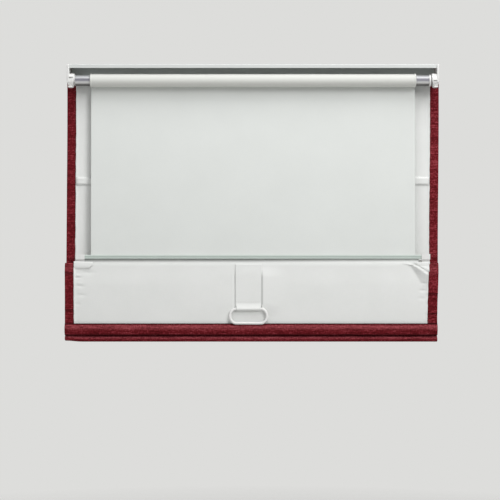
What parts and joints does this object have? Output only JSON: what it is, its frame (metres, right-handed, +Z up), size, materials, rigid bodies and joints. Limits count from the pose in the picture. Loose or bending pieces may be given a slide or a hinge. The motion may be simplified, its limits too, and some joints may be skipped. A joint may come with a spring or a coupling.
{
  "type": "roman shade",
  "caption": "Cordless fabric roman shade on a spring roller with a lift band, ribs and a pull ring, raised by one fold.",
  "frame": {"origin": "middle of the headrail's top face, which is screwed up to the window head", "axes": "+X to the right seen from the window side, +Y into the room, +Z up"},
  "size_m": [0.911, 0.0475, 0.6739],
  "materials": {
    "rail_paint": "satin light grey coat",
    "aluminium": "drawn, satin",
    "steel": "zinc plated",
    "white_moulding": "semi-gloss white",
    "grey_moulding": "matt grey",
    "red_linen": "slubbed plain weave, dark red",
    "white_lining": "fine white lining",
    "white_band": "smooth thin white cloth",
    "clear_acrylic": "clear with a faint green edge tint",
    "clear_rib": "translucent"
  },
  "bodies": {
    "head": {"headrail": "rail_paint", "hook_tape": "white_lining", "loop_tape": "white_lining", "end_bracket_left": "white_moulding", "end_bracket_right": "white_moulding", "end_screw_left": "steel", "end_screw_right": "steel", "idler_pin": "steel", "brake_hub": "grey_moulding", "spring_shaft": "steel", "spring_anchor": "grey_moulding", "torsion_spring": "steel", "lift_band": "white_band", "face_cloth": "red_linen", "lining": "white_lining"},
    "roller": {"roller_tube": "aluminium", "idler_plug": "white_moulding", "brake_sleeve": "grey_moulding", "roller_end_plug": "white_moulding", "drive_plug": "grey_moulding"},
    "lift_stack": {"lift_bar": "clear_acrylic", "end_clip_left": "white_moulding", "end_clip_right": "white_moulding", "middle_rib": "clear_rib", "fold_rib": "clear_rib", "lift_rib": "clear_rib", "bottom_bar": "steel", "pull_strap": "white_lining"},
    "rib_body": {"upper_rib": "clear_rib"},
    "ring": {"pull_ring": "white_moulding"}
  },
  "joints": [
    {"name": "shade_lift", "type": "slide", "parent": "head", "child": "lift_stack", "axis": [0, 0, 1], "range_m": [-0.384, 0.25], "deforming": ["face_cloth", "lining", "lift_band"]},
    {"name": "roller_spin", "type": "hinge", "parent": "head", "child": "roller", "pos_m": [0, -0.005, -0.038], "axis": [1, 0, 0], "range_deg": [-1410, 918]},
    {"name": "upper_rib_rise", "type": "slide", "parent": "head", "child": "rib_body", "axis": [0, 0, 1], "range_m": [-0.193, 0.126]},
    {"name": "ring_swing", "type": "hinge", "parent": "lift_stack", "child": "ring", "pos_m": [-0.011, -0.00505, -0.59325], "axis": [-1, 0, 0], "range_deg": [0, 95]}
  ],
  "couplings": [
    {"joint": "roller_spin", "follows": "shade_lift", "rad_per_m": 64},
    {"joint": "upper_rib_rise", "follows": "shade_lift", "ratio": 0.5}
  ]
}
